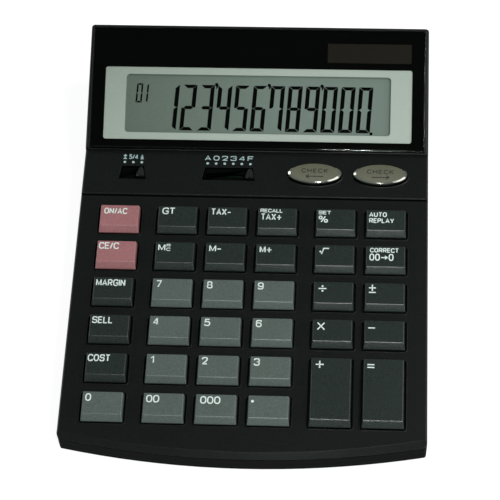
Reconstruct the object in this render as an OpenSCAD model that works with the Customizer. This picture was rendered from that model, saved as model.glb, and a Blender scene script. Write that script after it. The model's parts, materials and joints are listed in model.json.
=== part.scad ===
// Desktop calculator: a wedge-shaped case with a raised display, 34 keycaps,
// two oval keys and two slide switches.
// Millimetres. X runs to the right, Y runs to the back, Z runs up, and the origin is at the bottom centre.

/* [Case] */
// Overall width, at the seam of the two case halves
body_w = 141; // [125:1:160]
// Overall depth, from the bow of the front to the back wall
body_d = 184.3; // [170:0.1:200]
// How far the front edge bows forward in the middle
front_bow = 6.9; // [3:0.1:9]
// Height of the top face at its front edge, above the table
front_h = 12.2; // [12:0.1:15]
// Slope of the key area, in degrees
key_slope = 2; // [1:0.25:4]
// Slope of the display, in degrees
display_slope = 21.5; // [17:0.5:26]
// Distance from that edge down to the seam between the case halves
seam_drop = 2.3; // [1.8:0.1:3]
// Thickness of the outer walls, the floor and the top
wall = 2; // [1.6:0.1:2.2]
// Depth of the bevel along the front edge
bevel_d = 2; // [1:0.1:3]
// How far each side leans in between the seam and the back edge of the top
side_lean = 0.6; // [0.2:0.1:1.2]
// Chamfer along the side edges of the top
edge_chamfer = 0.6; // [0.2:0.1:1]
// Radius of the upright corners
corner_r = 2.2; // [1:0.1:4]
// Height of the tongue that joins the case halves
tongue_h = 1; // [0.6:0.1:1.2]
// How far the rubber feet stand out below the case
foot_h = 1; // [0.6:0.1:1.5]
// Diameter of the rubber feet
foot_d = 10; // [7:0.5:12]

/* [Keys] */
// Distance from a side of the case to the outer keycaps
key_side = 8.7; // [7.8:0.1:10]
// Distance from the front edge of the top face to the front row
key_front = 11; // [9.5:0.1:13]
// Distance from the back row to the control strip
key_back = 6.35; // [5:0.05:8]
// Space between keycaps side by side
key_web_x = 3.6; // [3:0.1:5]
// Space between keycaps one behind the other
key_web_y = 4.67; // [4.2:0.01:6]
// Extra space beside the three columns of figure keys
key_group_gap = 3.3; // [2.8:0.1:4]
// Height of a keycap above the case
key_h = 3; // [2.4:0.1:4]
// How far the sides of a keycap lean in
key_side_lean = 0.6; // [0.2:0.1:1]
// How far the back of a keycap leans in
key_back_lean = 0.5; // [0.2:0.1:1]
// Depth of the sloped facet at the front of a keycap
key_facet_d = 2.1; // [1:0.1:3]
// Height of the sloped facet at the front of a keycap
key_facet_h = 2.5; // [1:0.1:2.6]
// How far a key goes down
key_travel = 1.6; // [1:0.1:1.8]
// Space round a keycap in its well
key_gap = 0.45; // [0.35:0.05:0.6]
// Corner radius of the key wells
well_r = 1; // [0.6:0.1:1.6]
// Height of the raised lip round a key well
lip_h = 0.3; // [0.1:0.05:0.5]
// Width of the raised lip round a key well
lip_w = 0.4; // [0.3:0.1:0.7]

/* [Control strip] */
// Depth of the strip between the groove and the display
strip_d = 20.9; // [20:0.1:23]
// How far the strip stands above the key area
strip_lift = 0.4; // [0.2:0.1:0.8]
// Width of the groove
groove_w = 0.8; // [0.5:0.1:1.2]
// Depth of the groove
groove_d = 0.7; // [0.4:0.1:1]
// Width of an oval key
oval_w = 21.6; // [18:0.1:22.4]
// Depth of an oval key
oval_d = 9.3; // [7:0.1:10]
// Height of an oval key above the strip
oval_h = 2.2; // [1.6:0.1:2.4]
// Distance from the right side to the middle of the pair of oval keys
oval_side = 32.8; // [30:0.1:34]
// Space between the oval keys
oval_web = 5; // [4:0.1:6]
// Spacing of the switch positions
switch_pitch = 3.5; // [3:0.1:4]
// Distance from the left side to the last place of the rounding switch
rounding_side = 23.8; // [21:0.1:26]
// Distance from the centre to the last place of the decimal switch
decimal_left = 2.1; // [0:0.1:4]
// Depth of a switch recess, front to back
pit_d = 6.2; // [5.8:0.1:7]
// How deep a switch recess goes into the strip
pit_h = 1.4; // [0.8:0.1:1.4]
// Height of a switch knob above the strip
knob_h = 1.7; // [1:0.1:2.2]
// Width of a switch knob at its front
knob_w = 3.4; // [2.8:0.1:3.8]
// Width of a switch knob at its back
knob_tip = 1.2; // [0.8:0.1:1.8]

/* [Display] */
// Thickness of the clear window
window_t = 1.5; // [1.2:0.1:2]
// Rim of the case beside the window
window_rim = 1.2; // [0.8:0.1:1.4]
// Rim of the case behind the window
window_top_rim = 1; // [0.6:0.1:1.4]
// Chamfer along the lower edge of the window
window_bevel = 0.7; // [0.3:0.1:1]
// Distance from a side of the case to the visible pale frame
frame_side = 7.1; // [6:0.1:9]
// Height of the visible pale frame
frame_view_h = 30.8; // [26:0.2:36]
// Distance from the lower edge of the window to the pale frame
frame_view_v = 4.3; // [4:0.1:5]
// Width of the pale frame at the ends of the liquid crystal display
lcd_side = 8.7; // [6:0.1:12]
// Width of the pale frame above and below the liquid crystal display
lcd_edge = 3; // [2.7:0.1:5]
// Width of the visible part of the solar cell
solar_view_w = 34.6; // [30:0.2:35]
// Height of the visible part of the solar cell
solar_view_h = 8.3; // [7:0.1:8.6]
// Distance from the right side to the visible part of the solar cell
solar_side = 7.5; // [6:0.1:10]
// Space between the pale frame and the solar cell
solar_gap = 2.8; // [2.4:0.1:4]
// Distance from the solar cell to the rim behind the window
solar_back = 5.3; // [3:0.1:8]

/* [Inside] */
// Thickness of the circuit board
board_t = 1.2; // [1:0.1:1.4]
// Thickness of the rubber sheet under the keys
sheet_t = 0.8; // [0.6:0.1:1]
// Diameter of the button cell
cell_d = 11.6; // [10:0.1:12]
// Thickness of the button cell
cell_h = 3; // [2:0.1:3.2]

/* [Hidden] */
$fn = 48;
eps = 0.01;
gap = 0.05;
slip = 0.15;
mask_t = 0.2;
cut = 1;

// Planes of the case: the display is as long as what it holds, and the key area takes the rest of the depth
y_back = body_d / 2;
y_front = -body_d / 2;
key_y0 = y_front + bevel_d;
fold_step = window_t + mask_t;
solar_view_v = frame_view_v + frame_view_h + solar_gap;
display_len = solar_view_v + solar_view_h + solar_back + window_top_rim;
fold_y = y_back - display_len * cos(display_slope);
strip_end = (fold_y - key_y0 + (strip_lift + fold_step) * sin(key_slope)) / cos(key_slope);
strip_u = strip_end - strip_d;
fold_z = front_h + strip_end * sin(key_slope) + (strip_lift + fold_step) * cos(key_slope);
seam_z = front_h - seam_drop;
top_z = fold_z + display_len * sin(display_slope);
front_r = (body_w * body_w / 4 + front_bow * front_bow) / (2 * front_bow);
front_cy = y_front + front_r;
bevel_z = seam_z + slip;
bevel_rate = bevel_d / (front_h - bevel_z);
floor_z = foot_h + wall;

// Keycaps fill what their margins and the spaces between them leave
key_rows = 6;
key_columns = 6;
key_w = (body_w - 2 * key_side - (key_columns - 1) * key_web_x - 2 * key_group_gap) / key_columns;
key_d = (strip_u - key_front - key_back - (key_rows - 1) * key_web_y) / key_rows;
key_pitch_x = key_w + key_web_x;
key_pitch_y = key_d + key_web_y;

// Levels under the key area, measured square to it
flange_t = 0.9;
flange_out = 1.3;
key_bottom = -wall - gap - flange_t;
dome_top = key_bottom - gap;
sheet_top = key_bottom - key_travel - 3 * slip;
board_top = sheet_top - sheet_t;
board_bottom = board_top - board_t;
key_shell = 1.2;
hub_r = 2.2;

// Edges of the circuit board
board_side = 9;
board_front = 10.5;
board_back = 1;
board_w = body_w - 2 * board_side;
board_end = strip_end - board_back;

// Places of screws and feet
case_screw_side = 5.5;
case_screw_front = 17;
case_screw_back = 7;
case_screw_x = body_w / 2 - case_screw_side;
case_screw_first = y_front + case_screw_front;
case_screw_last = y_back - case_screw_back;
case_screw_y = [case_screw_first, (case_screw_first + case_screw_last) / 2, case_screw_last];
boss_r = 2.6;
web_w = body_w / 2 - wall / 2 - side_lean - case_screw_x;
web_x = case_screw_x + web_w / 2;
boss_drop = 2.9;
boss_z = seam_z - boss_drop;
screw_r = 1.2;
screw_head_r = 2.3;
screw_head_h = 1.5;
screw_seat = 2.6;
screw_seat_z = foot_h + screw_seat;
case_screw_len = 4;
board_screw_len = 3.4;
board_boss_r = 2;
board_screw_r = 0.8;
board_head_r = 1.5;
board_head_h = 0.9;
foot_side = 18;
foot_front = 14;
foot_back = 12;
foot_x = body_w / 2 - foot_side;
foot_y = [y_front + foot_front, y_back - foot_back];
foot_sunk = 0.8;

// Control strip
strip_mid = strip_u + strip_d / 2;
rounding_x = rounding_side - body_w / 2;
decimal_x = -decimal_left;
oval_x = body_w / 2 - oval_side;
oval_pitch = oval_w + oval_web;
pit_floor = strip_lift - pit_h;
pit_front = 2.1;
pit_back = 1.1;
rounding_steps = 3;
decimal_steps = 6;
stem_w = 2;
stem_d = 1;
plate_w = 7;
plate_d = 8.4;
plate_t = 1;
guide_t = 1;
knob_d = pit_d - 1;
leaf_t = 0.25;

// Window, frame and solar cell
window_half = body_w / 2 - side_lean - window_rim;
window_len = display_len - window_top_rim - gap;
frame_view_w = body_w - 2 * frame_side;
lcd_view_w = frame_view_w - 2 * lcd_side;
lcd_view_h = frame_view_h - 2 * lcd_edge;
solar_view_x = body_w / 2 - solar_side;
frame_lap = 0.8;
frame_body_w = frame_view_w + 2 * frame_lap;
frame_body_h = frame_view_h + 2 * frame_lap;
frame_mid_v = frame_view_v + frame_view_h / 2;
frame_flange = 2.4;
frame_flange_t = 1;
lcd_lap_x = 2.1;
lcd_lap_y = 2.3;
lcd_w = lcd_view_w + 2 * lcd_lap_x;
lcd_h = lcd_view_h + 2 * lcd_lap_y;
lcd_t = 2;
lcd_view_r = 1.5;
lcd_sunk = 1.3;
lcd_front = -fold_step - lcd_sunk;
solar_lap = 0.7;
solar_w = solar_view_w + 2 * solar_lap;
solar_h = solar_view_h + 2 * solar_lap;
solar_t = 1.1;
solar_mid_x = solar_view_x - solar_view_w / 2;
solar_mid_v = solar_view_v + solar_view_h / 2;
frame_screw_in = 4.2;
frame_screw_clear = 7.7;
frame_screw_back_x = solar_mid_x - solar_w / 2 - frame_screw_clear;
frame_screw_front_x = frame_body_w / 2 - frame_screw_in;
frame_screw_v = frame_body_h / 2 + frame_flange / 2 + slip;
frame_screws = [
    for (side = [-1, 1]) each [
        [side * frame_screw_back_x, frame_mid_v + frame_screw_v],
        [side * frame_screw_front_x, frame_mid_v - frame_screw_v]
    ]
];
ribbon_t = 0.2;
ribbon_clear = 5.7;
ribbon_tail = 3;
ribbon_rise = 1.2;
ribbon_w = 2 * (solar_mid_x - ribbon_clear);
wire_r = 0.5;
wire_gap = 6;
wire_x = [solar_mid_x, solar_mid_x + wire_gap];

// Keypad, board and battery
dome_r = 4;
cap_h = 1.2;
board_screw_x = [(column_x(0) + column_x(1)) / 2, (column_x(3) + column_x(4)) / 2];
board_screw_u = [for (r = [0, 2, 4]) (row_u(r) + row_u(r + 1)) / 2];
cell_x = -30;
cell_back = 67.15;
cell_y = y_back - cell_back;
cell_u = (cell_y - key_y0) / cos(key_slope);
clip_w = 4;
cover_lap_x = 7;
cover_lap_y = 3;
cover_shift = 4;
cover_screw_out = 9;
cover_w = cell_d + 2 * cover_lap_x;
cover_d = cell_d + 2 * cover_lap_y;
cover_t = 1.2;
cover_seat = 0.5;
cover_x = cell_x + cover_shift;
cover_screw_x = cover_x + cover_screw_out;
cover_screw_len = 4;

// Case halves
tongue_in = 1.1;
seam_gap = 0.5;
base_chamfer = 0.5;
base_lean = 0.2;
post_r = 3.2;
rib_side = 20.5;
rib_mid_x = 8;
floor_rib_x = [rib_side - body_w / 2, rib_mid_x, body_w / 2 - rib_side];

// Key table: name, column, row from the back, rows covered, tone
KEYS = [
    ["key_all_clear", 0, 0, 1, "red"],
    ["key_grand_total", 1, 0, 1, "dark"],
    ["key_tax_minus", 2, 0, 1, "dark"],
    ["key_tax_plus", 3, 0, 1, "dark"],
    ["key_percent", 4, 0, 1, "dark"],
    ["key_auto_replay", 5, 0, 1, "dark"],
    ["key_clear", 0, 1, 1, "red"],
    ["key_memory_recall", 1, 1, 1, "dark"],
    ["key_memory_minus", 2, 1, 1, "dark"],
    ["key_memory_plus", 3, 1, 1, "dark"],
    ["key_root", 4, 1, 1, "dark"],
    ["key_correct", 5, 1, 1, "dark"],
    ["key_margin", 0, 2, 1, "dark"],
    ["key_7", 1, 2, 1, "grey"],
    ["key_8", 2, 2, 1, "grey"],
    ["key_9", 3, 2, 1, "grey"],
    ["key_divide", 4, 2, 1, "dark"],
    ["key_sign", 5, 2, 1, "dark"],
    ["key_sell", 0, 3, 1, "dark"],
    ["key_4", 1, 3, 1, "grey"],
    ["key_5", 2, 3, 1, "grey"],
    ["key_6", 3, 3, 1, "grey"],
    ["key_multiply", 4, 3, 1, "dark"],
    ["key_minus", 5, 3, 1, "dark"],
    ["key_cost", 0, 4, 1, "dark"],
    ["key_1", 1, 4, 1, "grey"],
    ["key_2", 2, 4, 1, "grey"],
    ["key_3", 3, 4, 1, "grey"],
    ["key_plus", 4, 4, 2, "dark"],
    ["key_equals", 5, 4, 2, "dark"],
    ["key_0", 0, 5, 1, "grey"],
    ["key_00", 1, 5, 1, "grey"],
    ["key_000", 2, 5, 1, "grey"],
    ["key_point", 3, 5, 1, "grey"]
];
OVALS = ["oval_key_back", "oval_key_forward"];

// Colours
case_black = [0.09, 0.1, 0.1];
gloss_black = [0.04, 0.04, 0.04];
frame_grey = [0.67, 0.72, 0.67];
glass_green = [0.45, 0.51, 0.46];
cell_brown = [0.14, 0.12, 0.1];
rubber_grey = [0.55, 0.56, 0.55];
board_green = [0.14, 0.36, 0.2];
metal = [0.75, 0.75, 0.72];
foot_black = [0.12, 0.12, 0.12];
function tone(name) =
    name == "red" ? [0.63, 0.43, 0.44] :
    name == "grey" ? [0.35, 0.39, 0.37] : [0.17, 0.19, 0.18];

// Middle of a key: columns left to right, rows back to front, tall keys reach one row further to the front
function column_x(c) =
    (c - (key_columns - 1) / 2) * key_pitch_x + key_group_gap * ((c > 0 ? 1 : 0) + (c > 3 ? 1 : 0) - 1);
function row_u(r) = key_front + key_d / 2 + (key_rows - 1 - r) * key_pitch_y;
function key_x(k) = column_x(k[1]);
function key_depth(k) = key_d + (k[3] - 1) * key_pitch_y;
function key_u(k) = row_u(k[2]) - (k[3] - 1) * key_pitch_y / 2;
function hubs(k) = [for (i = [0:k[3] - 1]) (i - (k[3] - 1) / 2) * key_pitch_y];

// Points in the Y-Z plane on the key area and on the display
function k_pt(u, n) =
    [key_y0 + u * cos(key_slope) - n * sin(key_slope), front_h + u * sin(key_slope) + n * cos(key_slope)];
function d_pt(v, w) =
    [fold_y + v * cos(display_slope) - w * sin(display_slope),
     fold_z + v * sin(display_slope) + w * cos(display_slope)];

module on_keys(x, u, n) {
    translate([0, key_y0, front_h])
        rotate([key_slope, 0, 0])
            translate([x, u, n])
                children();
}

module on_display(x, v, w) {
    translate([0, fold_y, fold_z])
        rotate([display_slope, 0, 0])
            translate([x, v, w])
                children();
}

// A Y-Z outline drawn out along X, centred
module across(width) {
    translate([-width / 2, 0, 0])
        rotate([90, 0, 90])
            linear_extrude(width)
                children();
}

// An X-Z outline drawn out along Y, centred
module along(depth) {
    translate([0, depth / 2, 0])
        rotate([90, 0, 0])
            linear_extrude(depth)
                children();
}

module rounded_rect(w, d, r) {
    square([w - 2 * r, d], center = true);
    square([w, d - 2 * r], center = true);
    for (x = [-1, 1], y = [-1, 1]) {
        translate([x * (w / 2 - r), y * (d / 2 - r)])
            circle(r);
    }
}

module block(w, d, h) {
    translate([-w / 2, -d / 2, 0])
        cube([w, d, h]);
}

module oval(w, d, h) {
    scale([w / d, 1, 1])
        cylinder(d = d, h = h);
}

// Upright solid with the outline of the case, moved in by inset
module outline_solid(inset, z0, z1) {
    intersection() {
        translate([0, front_cy, z0])
            cylinder(r = front_r - inset, h = z1 - z0);
        translate([-body_w / 2 + inset, y_front - cut, z0 - cut])
            cube([body_w - 2 * inset, body_d + cut - inset, z1 - z0 + 2 * cut]);
    }
}

// What is taken off the upright corners of the case
module corner_cuts(z0, z1) {
    fx = body_w / 2 - corner_r;
    fy = front_cy - sqrt(pow(front_r - corner_r, 2) - fx * fx);
    turn = asin(fx / (front_r - corner_r));
    reach = 3 * corner_r;
    for (side = [0, 1]) {
        mirror([side, 0, 0])
            translate([0, 0, z0])
                linear_extrude(z1 - z0) {
                    translate([fx, fy])
                        difference() {
                            polygon([[0, 0], [reach, 0], [reach, -reach],
                                     [reach * sin(turn), -reach * cos(turn)]]);
                            circle(corner_r);
                        }
                    translate([fx, y_back - corner_r])
                        difference() {
                            square(reach);
                            circle(corner_r);
                        }
                }
    }
}

// How far the sloping side has come in at a height
function side_in(z) = side_lean * (z - seam_z) / (top_z - seam_z);

// Upper case

module upper_outside() {
    over = 2 * wall;
    intersection() {
        across(body_w + over)
            polygon([
                [y_front - over, seam_z], [y_back, seam_z], [y_back, top_z],
                d_pt(0, 0), d_pt(0, -fold_step / cos(display_slope - key_slope)),
                k_pt(strip_u, strip_lift), k_pt(strip_u, 0), k_pt(-over - bevel_d, 0)
            ]);
        translate([0, front_cy, 0])
            rotate_extrude()
                polygon([
                    [0, seam_z], [front_r, seam_z], [front_r, bevel_z],
                    [front_r - bevel_rate * (top_z + over - bevel_z), top_z + over], [0, top_z + over]
                ]);
        along(body_d + over)
            polygon([
                [-body_w / 2, seam_z], [body_w / 2, seam_z],
                [body_w / 2 - side_lean, top_z], [body_w / 2 - side_lean, top_z + over],
                [side_lean - body_w / 2, top_z + over], [side_lean - body_w / 2, top_z]
            ]);
    }
}

// Everything below the top of the case, at a depth under its skin
module under_skin(depth, width, z0) {
    tilt = display_slope - key_slope;
    below = fold_step + depth;
    drop = -depth - strip_lift - fold_step;
    turn_u = strip_end + (drop * cos(tilt) + below) / sin(tilt);
    end_v = (y_back - depth - fold_y - below * sin(display_slope)) / cos(display_slope);
    across(width)
        polygon([
            [y_front - wall, z0], [y_back - depth, z0], d_pt(end_v, -below),
            k_pt(turn_u, -depth), k_pt(-bevel_d - wall, -depth)
        ]);
}

module upper_cavity() {
    intersection() {
        under_skin(wall, body_w, seam_z - cut);
        outline_solid(wall + side_lean, seam_z - cut, top_z + cut);
    }
    outline_solid(tongue_in - gap, seam_z - cut, seam_z + tongue_h + gap);
}

// A bar that cuts a chamfer along a side edge, from the origin to the back
module edge_bar(x, len) {
    translate([x, len, 0])
        rotate([90, 0, 0])
            linear_extrude(len)
                polygon([[-edge_chamfer - wall, wall], [wall, -edge_chamfer - wall], [wall, wall]]);
}

module edge_cuts() {
    key_edge = body_w / 2 - side_in(k_pt(strip_u / 2, 0)[1]);
    strip_edge = body_w / 2 - side_in(fold_z - fold_step);
    display_edge = body_w / 2 - side_in((fold_z + top_z) / 2);
    for (side = [0, 1]) {
        mirror([side, 0, 0]) {
            on_keys(0, -wall, 0)
                edge_bar(key_edge, strip_u + wall);
            on_keys(0, strip_u, strip_lift)
                edge_bar(strip_edge, strip_d);
            on_display(0, -wall, 0)
                edge_bar(display_edge, display_len + 2 * wall);
        }
    }
}

// Groove in front of the control strip, with a chamfer on the edge of the strip
module groove() {
    edge = strip_lift + eps;
    on_keys(0, strip_u - groove_w, 0)
        across(body_w + wall)
            polygon([
                [0, wall], [0, -groove_d], [groove_w + eps, -groove_d],
                [groove_w + eps, edge - strip_lift], [groove_w + strip_lift, edge],
                [groove_w + strip_lift, wall]
            ]);
}

module key_well(k, grow, n0, n1) {
    on_keys(key_x(k), key_u(k), n0)
        linear_extrude(n1 - n0)
            rounded_rect(key_w + 2 * (key_gap + grow), key_depth(k) + 2 * (key_gap + grow), well_r + grow);
}

module oval_well(i, grow, n0, n1) {
    on_keys(oval_x + (i - 0.5) * oval_pitch, strip_mid, n0)
        oval(oval_w + 2 * (key_gap + grow), oval_d + 2 * (key_gap + grow), n1 - n0);
}

// Recess of a slide switch, wider at its front, with a slot for the stem
module switch_recess(last_x, steps) {
    first_x = last_x - (steps - 1) * switch_pitch;
    on_keys(0, strip_mid, pit_floor)
        linear_extrude(pit_h + wall)
            polygon([
                [first_x - pit_front, -pit_d / 2], [last_x + pit_front, -pit_d / 2],
                [last_x + pit_back, pit_d / 2], [first_x - pit_back, pit_d / 2]
            ]);
    on_keys((first_x + last_x) / 2, strip_mid, -2 * wall)
        block(last_x - first_x + stem_w + 4 * slip, stem_d + 2 * slip, 3 * wall);
}

module switch_guides(last_x, steps) {
    first_x = last_x - (steps - 1) * switch_pitch;
    for (side = [-1, 1]) {
        guide_u = strip_mid + side * (plate_d / 2 + slip + guide_t / 2);
        on_keys((first_x + last_x) / 2, guide_u, -wall - plate_t)
            block(last_x - first_x + plate_w + 2 * guide_t, guide_t, plate_t + wall / 2);
    }
}

module case_bosses() {
    intersection() {
        under_skin(wall / 2, body_w, boss_z);
        for (side = [-1, 1], y = case_screw_y) {
            translate([side * case_screw_x, y, boss_z]) {
                cylinder(r = boss_r, h = top_z);
            }
        }
    }
    intersection() {
        under_skin(wall / 2, body_w, boss_z);
        for (side = [-1, 1], y = case_screw_y) {
            translate([side * web_x, y, seam_z + tongue_h + 2 * slip])
                block(web_w, wall / 2, top_z);
        }
    }
}

module board_bosses(r, n0, n1) {
    for (x = board_screw_x, u = board_screw_u) {
        on_keys(x, u, n0)
            cylinder(r = r, h = n1 - n0);
    }
}

module frame_holes(r, w0, w1) {
    for (p = frame_screws) {
        on_display(p[0], p[1], w0)
            cylinder(r = r, h = w1 - w0);
    }
}

module upper_case() {
    color(case_black)
        difference() {
            union() {
                difference() {
                    upper_outside();
                    upper_cavity();
                    edge_cuts();
                    corner_cuts(seam_z - cut, top_z + cut);
                }
                case_bosses();
                board_bosses(board_boss_r, board_top, -wall / 2);
                switch_guides(rounding_x, rounding_steps);
                switch_guides(decimal_x, decimal_steps);
                for (k = KEYS) {
                    key_well(k, lip_w, -wall / 2, lip_h);
                }
                for (i = [0, 1]) {
                    oval_well(i, lip_w, -wall / 2, strip_lift + lip_h / 2);
                }
            }
            groove();
            for (k = KEYS) {
                key_well(k, 0, -2 * wall, wall);
            }
            for (i = [0, 1]) {
                oval_well(i, 0, -2 * wall, 2 * wall);
            }
            switch_recess(rounding_x, rounding_steps);
            switch_recess(decimal_x, decimal_steps);
            on_display(0, (display_len - window_top_rim - slip) / 2, -fold_step)
                block(2 * window_half, display_len - window_top_rim + slip, 2 * wall);
            on_display(0, frame_mid_v, -fold_step - 2 * wall)
                block(frame_body_w + 2 * slip, frame_body_h + 2 * slip, 3 * wall);
            on_display(solar_mid_x, solar_mid_v, -fold_step - solar_t - 2 * gap)
                block(solar_w + 2 * slip, solar_h + 2 * slip, wall);
            for (x = wire_x) {
                on_display(x, solar_mid_v, -fold_step - 2 * wall)
                    cylinder(r = 2 * wire_r, h = 2 * wall);
            }
            for (side = [-1, 1], y = case_screw_y) {
                translate([side * case_screw_x, y, boss_z - cut])
                    cylinder(r = screw_r + gap, h = cut + case_screw_len + 2 * slip);
            }
            board_bosses(board_screw_r + gap, board_top - cut, board_top + board_screw_len - board_t + slip);
            frame_holes(board_screw_r + gap, -fold_step - 2 * wall, -fold_step - wall / 4);
        }
}

// Lower case

module lower_outside() {
    top = seam_z - seam_gap;
    low = foot_h + base_chamfer;
    r0 = front_r - base_lean - base_chamfer;
    intersection() {
        translate([0, front_cy, 0])
            rotate_extrude()
                polygon([[0, foot_h], [r0, foot_h], [front_r - base_lean, low], [front_r, top], [0, top]]);
        along(body_d + wall)
            polygon([
                [base_lean + base_chamfer - body_w / 2, foot_h],
                [body_w / 2 - base_lean - base_chamfer, foot_h], [body_w / 2 - base_lean, low],
                [body_w / 2, top], [-body_w / 2, top], [base_lean - body_w / 2, low]
            ]);
        across(body_w + wall)
            polygon([
                [y_front - wall, foot_h], [y_back - base_lean - base_chamfer, foot_h],
                [y_back - base_lean, low], [y_back, top], [y_front - wall, top]
            ]);
    }
}

module lower_case() {
    color(case_black)
        difference() {
            union() {
                difference() {
                    lower_outside();
                    outline_solid(wall, floor_z, seam_z + wall);
                    corner_cuts(foot_h - cut, seam_z + wall);
                }
                difference() {
                    outline_solid(tongue_in, floor_z + wall, seam_z + tongue_h);
                    outline_solid(wall, floor_z, seam_z + 2 * wall);
                }
                for (side = [-1, 1], y = case_screw_y) {
                    translate([side * case_screw_x, y, foot_h + base_chamfer / 2])
                        cylinder(r = post_r, h = boss_z - foot_h - base_chamfer / 2);
                    translate([side * web_x, y, floor_z - wall / 2])
                        block(web_w, wall / 2, boss_z - floor_z + wall / 2);
                }
                for (x = floor_rib_x) {
                    translate([x, 0, floor_z - wall / 2])
                        block(wall / 2, body_d - 12 * wall, wall);
                }
                translate([cell_x, cell_y, floor_z - eps])
                    cylinder(r = cell_d / 2 + 2 * slip + wall / 2, h = cell_h);
                translate([cover_screw_x, cell_y, floor_z - wall / 2])
                    cylinder(r = boss_r, h = wall / 2 + cell_h);
            }
            for (side = [-1, 1], y = case_screw_y) {
                translate([side * case_screw_x, y, 0])
                    cylinder(r = screw_head_r + slip, h = screw_seat_z);
                translate([side * case_screw_x, y, 0])
                    cylinder(r = screw_r + slip, h = seam_z);
            }
            for (side = [-1, 1], y = foot_y) {
                translate([side * foot_x, y, 0])
                    cylinder(d = foot_d + 2 * gap, h = foot_h + foot_sunk);
            }
            translate([cover_x, cell_y, 0])
                block(cover_w + 2 * slip, cover_d + 2 * slip, foot_h + cover_t + gap);
            translate([cell_x, cell_y, 0])
                cylinder(r = cell_d / 2 + 2 * slip, h = seam_z);
            translate([cell_x + cell_d / 2, cell_y, floor_z])
                block(2 * wall, clip_w + 4 * slip, cell_h + wall);
            translate([cover_screw_x, cell_y, 0])
                cylinder(r = board_screw_r + gap, h = foot_h + cover_screw_len + wall / 2);
        }
}

// Keys

module key_body(depth, in) {
    w = key_w / 2 - in;
    d = depth / 2 - in;
    low = in > 0 ? key_bottom - cut : key_bottom;
    intersection() {
        along(depth + wall)
            polygon([
                [-w, low], [w, low], [w, 0], [w - key_side_lean, key_h - in],
                [key_side_lean - w, key_h - in], [-w, 0]
            ]);
        across(key_w + wall)
            polygon([
                [-d, low], [d, low], [d, 0], [d - key_back_lean, key_h - in],
                [key_facet_d - d, key_h - in], [-d, key_h - key_facet_h - in / 2]
            ]);
    }
}

module keycap(k) {
    depth = key_depth(k);
    color(tone(k[4]))
        on_keys(key_x(k), key_u(k), 0) {
            difference() {
                union() {
                    key_body(depth, 0);
                    translate([0, 0, key_bottom])
                        block(key_w - 2 * key_side_lean, depth + 2 * flange_out, flange_t);
                }
                key_body(depth, key_shell);
            }
            for (u = hubs(k)) {
                translate([0, u, key_bottom])
                    cylinder(r = hub_r, h = key_h - key_shell / 2 - key_bottom);
            }
        }
}

module oval_key(i) {
    top = strip_lift + oval_h;
    edge = key_shell / 3;
    color(metal)
        on_keys(oval_x + (i - 0.5) * oval_pitch, strip_mid, key_bottom) {
            difference() {
                union() {
                    oval(oval_w, oval_d, top - edge - key_bottom);
                    translate([0, 0, top - edge - key_bottom])
                        scale([oval_w / oval_d, 1, 1])
                            cylinder(d1 = oval_d, d2 = oval_d - 2 * edge, h = edge);
                    oval(oval_w + 2 * flange_out, oval_d + 2 * flange_out, flange_t);
                }
                translate([0, 0, -cut])
                    oval(oval_w - 2 * key_shell, oval_d - 2 * key_shell, top - key_shell - key_bottom + cut);
            }
            cylinder(r = hub_r, h = top - key_shell / 2 - key_bottom);
        }
}

// Slide switches

// Knob that is high at its front and narrows in two arcs to its back
module slide_knob(last_x) {
    base = pit_floor + 2 * gap;
    top = strip_lift + knob_h;
    inset = (knob_w - knob_tip) / 2;
    arc_r = (knob_d * knob_d + inset * inset) / (2 * inset);
    color(case_black)
        on_keys(last_x, strip_mid, 0) {
            intersection() {
                across(knob_w)
                    polygon([
                        [-knob_d / 2, base], [knob_d / 2, base], [knob_d / 2, strip_lift + 2 * slip],
                        [slip - knob_d / 2, top], [-knob_d / 2, top - slip]
                    ]);
                translate([arc_r - knob_w / 2, -knob_d / 2, base - cut])
                    cylinder(r = arc_r, h = 3 * wall);
                translate([knob_w / 2 - arc_r, -knob_d / 2, base - cut])
                    cylinder(r = arc_r, h = 3 * wall);
            }
            translate([0, 0, -wall - gap - eps])
                block(stem_w, stem_d, base + wall + gap + 2 * eps);
            translate([0, 0, -wall - gap - plate_t])
                block(plate_w, plate_d, plate_t);
        }
}

// Sprung contact under a slide switch
module slide_wiper(last_x) {
    a = -wall - plate_t - 2 * gap;
    b = board_top + gap;
    h = plate_d / 2 - wall / 2;
    color(metal)
        on_keys(last_x, strip_mid, 0)
            across(plate_w - wall)
                polygon([
                    [-h, a], [h, a], [h, a - leaf_t], [wall - h, a - leaf_t], [h / 2, b + leaf_t],
                    [h - leaf_t, b + leaf_t], [h - leaf_t, b], [h / 2 - leaf_t, b],
                    [leaf_t - h, a - leaf_t], [-h, a - leaf_t]
                ]);
}

// Display

module display_window() {
    color(gloss_black)
        on_display(0, 0, 0)
            across(2 * (window_half - gap))
                polygon([
                    [0, -window_t], [window_len, -window_t], [window_len, 0],
                    [window_bevel, 0], [0, -window_bevel]
                ]);
}

module window_mask() {
    color(case_black)
        difference() {
            on_display(0, window_len / 2, -fold_step)
                block(2 * (window_half - gap), window_len, mask_t);
            on_display(0, frame_mid_v, -fold_step - cut)
                linear_extrude(wall)
                    rounded_rect(frame_view_w, frame_view_h, well_r);
            on_display(solar_mid_x, solar_mid_v, -fold_step - cut)
                block(solar_view_w, solar_view_h, wall);
        }
}

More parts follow.
